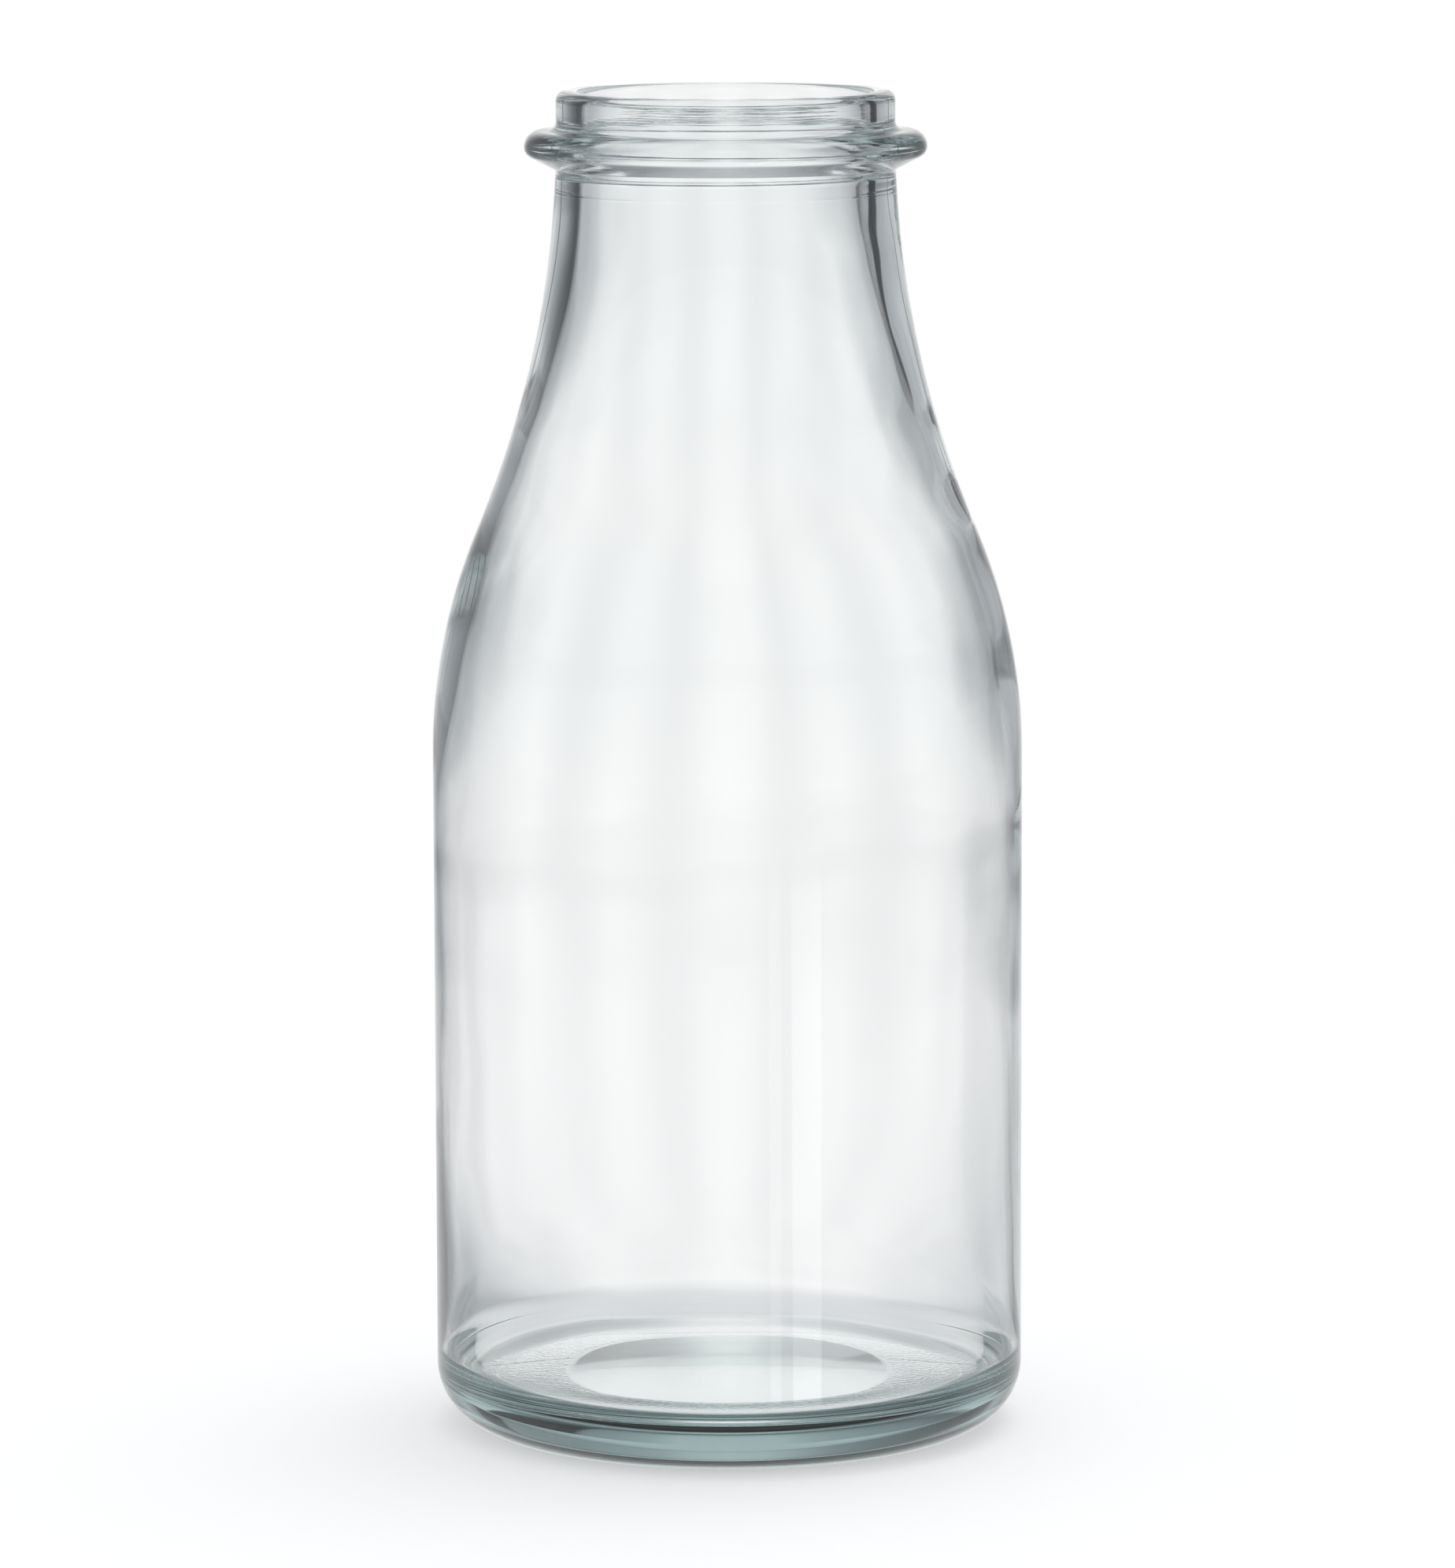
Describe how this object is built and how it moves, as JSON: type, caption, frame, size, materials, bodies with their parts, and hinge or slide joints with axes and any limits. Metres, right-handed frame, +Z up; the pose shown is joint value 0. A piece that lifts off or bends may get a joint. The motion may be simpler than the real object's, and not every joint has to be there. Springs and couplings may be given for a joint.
{
  "type": "milk bottle",
  "caption": "Round clear glass milk bottle: straight body, long sloping shoulder, wide mouth with a bead below a plain rim.",
  "frame": {"origin": "centre of the base, on the plane that the bottle rests on", "axes": "+Z up along the bottle's axis, out of the mouth; the shape is round, so +X and +Y are free"},
  "size_m": [0.0792, 0.0792, 0.18],
  "materials": {
    "glass": "clear moulded glass with a faint grey-green tint"
  },
  "bodies": {
    "root": {"bottle": "glass"}
  },
  "joints": []
}
